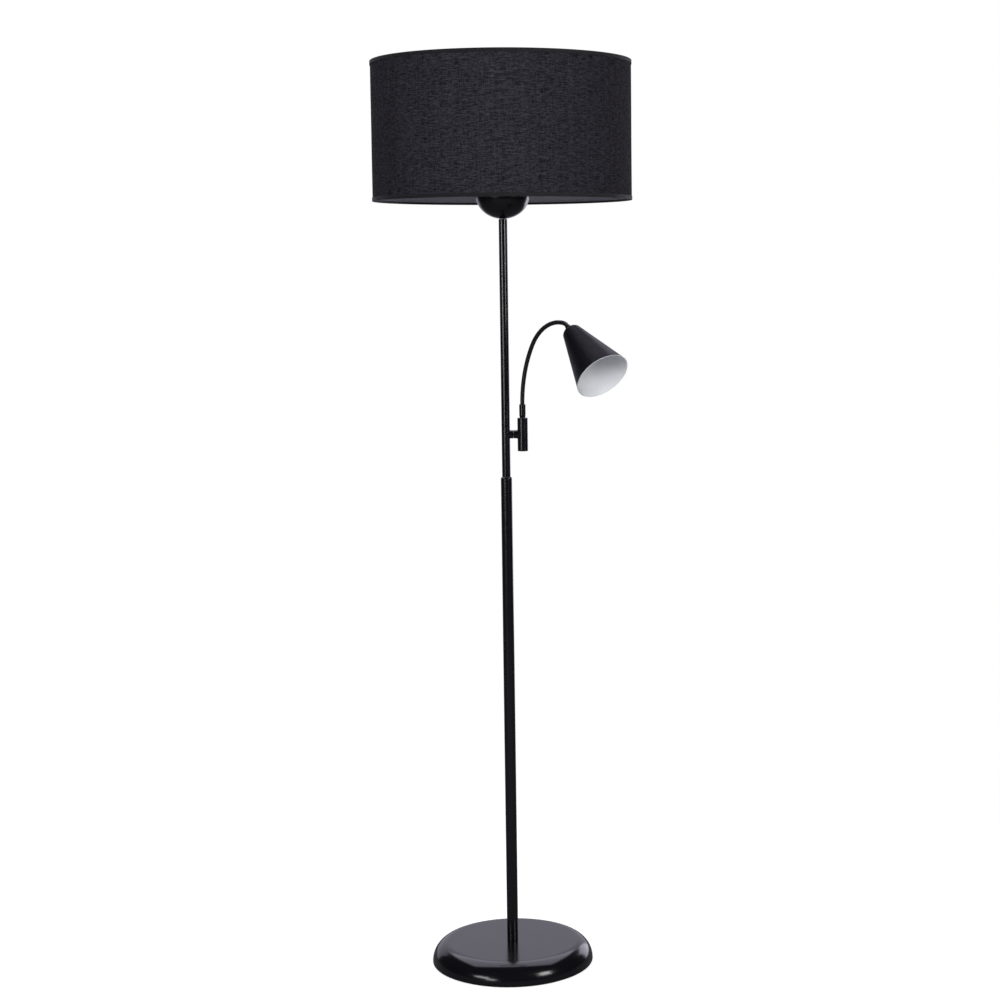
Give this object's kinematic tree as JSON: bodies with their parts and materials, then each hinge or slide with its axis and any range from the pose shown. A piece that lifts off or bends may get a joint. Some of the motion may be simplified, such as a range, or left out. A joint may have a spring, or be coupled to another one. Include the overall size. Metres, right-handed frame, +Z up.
{
  "type": "floor lamp with reading light",
  "caption": "Black floor lamp: drum shade over a small bowl on a slim two-step pole, gooseneck reading light with cone head, round weighted base.",
  "frame": {"origin": "on the floor, on the pole's axis, under the middle of the base pad", "axes": "+Z up along the pole, -Y the front, +X towards the side that carries the reading arm"},
  "size_m": [0.452, 0.452, 1.6065],
  "materials": {
    "black_paint": "satin black powder coat",
    "gloss_black": "gloss black lacquer",
    "head_paint": "satin black outside, white inside",
    "black_hose": "smooth black sleeve over a sprung steel hose",
    "black_fabric": "plain woven black cloth",
    "trim_tape": "folded black edging tape",
    "white_liner": "matt white film",
    "zinc_steel": "zinc plated",
    "cast_weight": "as cast",
    "felt": "grey felt",
    "black_rubber": "matt",
    "black_plastic": "moulded, fine grain",
    "white_plastic": "moulded",
    "white_ceramic": "unglazed",
    "opal_diffuser": "opal",
    "brass": "plain",
    "wire_sleeve": "smooth"
  },
  "bodies": {
    "stand": {"base_felt_pad": "felt", "base_plate": "zinc_steel", "base_weight": "cast_weight", "base_cover": "gloss_black", "cable_grommet": "black_rubber", "base_washer": "zinc_steel", "base_nut": "zinc_steel", "base_nipple": "zinc_steel", "lower_tube": "black_paint", "lower_tube_bush": "zinc_steel", "tube_reducer": "black_paint", "upper_tube": "black_paint", "upper_tube_bush": "zinc_steel", "pole_wire": "wire_sleeve", "top_nipple": "zinc_steel", "bowl": "black_paint", "bowl_nut": "zinc_steel", "lampholder_cap": "black_plastic", "lampholder_skirt": "black_plastic", "lampholder_core": "white_ceramic", "lampholder_shell": "brass", "shade_ring_nut": "black_plastic", "bulb_screw_cap": "brass", "bulb_housing": "white_plastic", "bulb_globe": "opal_diffuser", "shade_fabric": "black_fabric", "shade_liner": "white_liner", "shade_ring_bottom": "zinc_steel", "shade_ring_top": "zinc_steel", "shade_trim_bottom": "trim_tape", "shade_trim_top": "trim_tape", "shade_gallery": "zinc_steel", "shade_arm_1": "zinc_steel", "shade_arm_2": "zinc_steel", "shade_arm_3": "zinc_steel", "arm_spacer": "black_paint", "pivot_nipple": "zinc_steel", "pivot_nut": "zinc_steel", "pivot_washer": "zinc_steel"},
    "arm": {"arm_collar": "black_paint", "arm_barrel": "black_paint", "barrel_washer": "zinc_steel", "barrel_nut": "zinc_steel", "barrel_cap": "black_paint", "swivel_washer": "black_plastic"},
    "neck_root": {"neck_ferrule": "black_paint", "swivel_nut": "zinc_steel", "neck_link_1": "black_hose"},
    "neck_a": {"neck_link_2": "black_hose"},
    "neck_b": {"neck_link_3": "black_hose"},
    "neck_c": {"neck_link_4": "black_hose"},
    "neck_d": {"neck_link_5": "black_hose"},
    "head": {"neck_link_6": "black_hose", "head_cone": "head_paint", "head_collar": "black_paint", "head_nut": "zinc_steel", "spot_lampholder": "white_ceramic", "spot_bulb_body": "white_plastic", "spot_bulb_lens": "opal_diffuser"}
  },
  "joints": [
    {"name": "arm_pivot", "type": "hinge", "parent": "stand", "child": "arm", "pos_m": [0.013, 0, 0.9602], "axis": [1, 0, 0], "range_deg": [-90, 90]},
    {"name": "neck_swivel", "type": "hinge", "parent": "arm", "child": "neck_root", "pos_m": [0.0298, 0, 0.989], "axis": [0, 0, 1], "range_deg": [-95, 200]},
    {"name": "neck_bend_1", "type": "hinge", "parent": "neck_root", "child": "neck_a", "pos_m": [0.03057, -0.00109, 1.03571], "axis": [0.8166, 0.5771, 0], "range_deg": [-45, 35]},
    {"name": "neck_bend_2", "type": "hinge", "parent": "neck_a", "child": "neck_b", "pos_m": [0.03665, -0.00969, 1.07947], "axis": [-0.5413, 0.7659, 0.347], "range_deg": [-35, 35]},
    {"name": "neck_bend_3", "type": "hinge", "parent": "neck_b", "child": "neck_c", "pos_m": [0.04848, -0.02644, 1.11954], "axis": [0.8166, 0.5771, 0], "range_deg": [-45, 30]},
    {"name": "neck_bend_4", "type": "hinge", "parent": "neck_c", "child": "neck_d", "pos_m": [0.06795, -0.05399, 1.14879], "axis": [-0.2596, 0.3673, 0.8931], "range_deg": [-35, 35]},
    {"name": "neck_bend_5", "type": "hinge", "parent": "neck_d", "child": "head", "pos_m": [0.09311, -0.08959, 1.15848], "axis": [0.8166, 0.5771, 0], "range_deg": [-60, 8]}
  ]
}
